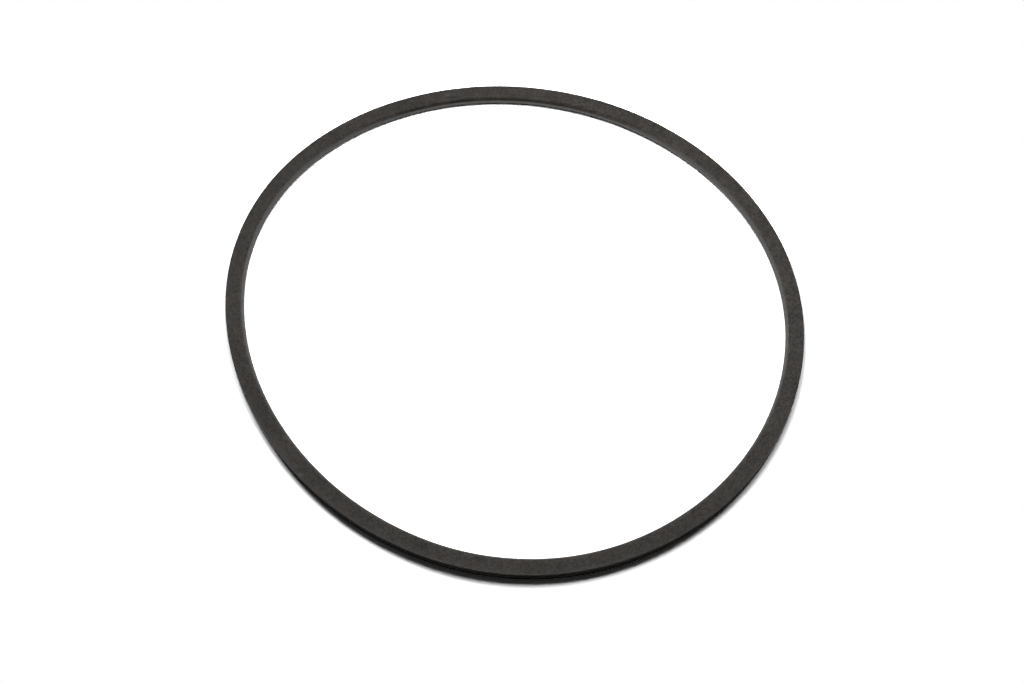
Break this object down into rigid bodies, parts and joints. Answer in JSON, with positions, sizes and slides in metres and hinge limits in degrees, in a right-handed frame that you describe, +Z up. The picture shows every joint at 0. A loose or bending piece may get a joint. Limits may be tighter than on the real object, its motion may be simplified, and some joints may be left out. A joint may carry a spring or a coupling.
{
  "type": "d-ring seal",
  "caption": "Moulded rubber sealing ring with a D-shaped section, flat back outward and rounded nose inward, lying relaxed and slightly out of round.",
  "frame": {"origin": "Middle of the ring's box, in the plane of the surface it lies on.", "axes": "+Z up out of the ring's plane, along the axis of its bore; +X and +Y in the plane it lies in. The relaxed oval's long axis points about 38 degrees from +X towards -Y."},
  "size_m": [0.2018, 0.1988, 0.0034],
  "materials": {
    "rubber": "matte black moulded rubber with a faint bloom"
  },
  "bodies": {
    "root": {"seal_ring": "rubber"}
  },
  "joints": []
}
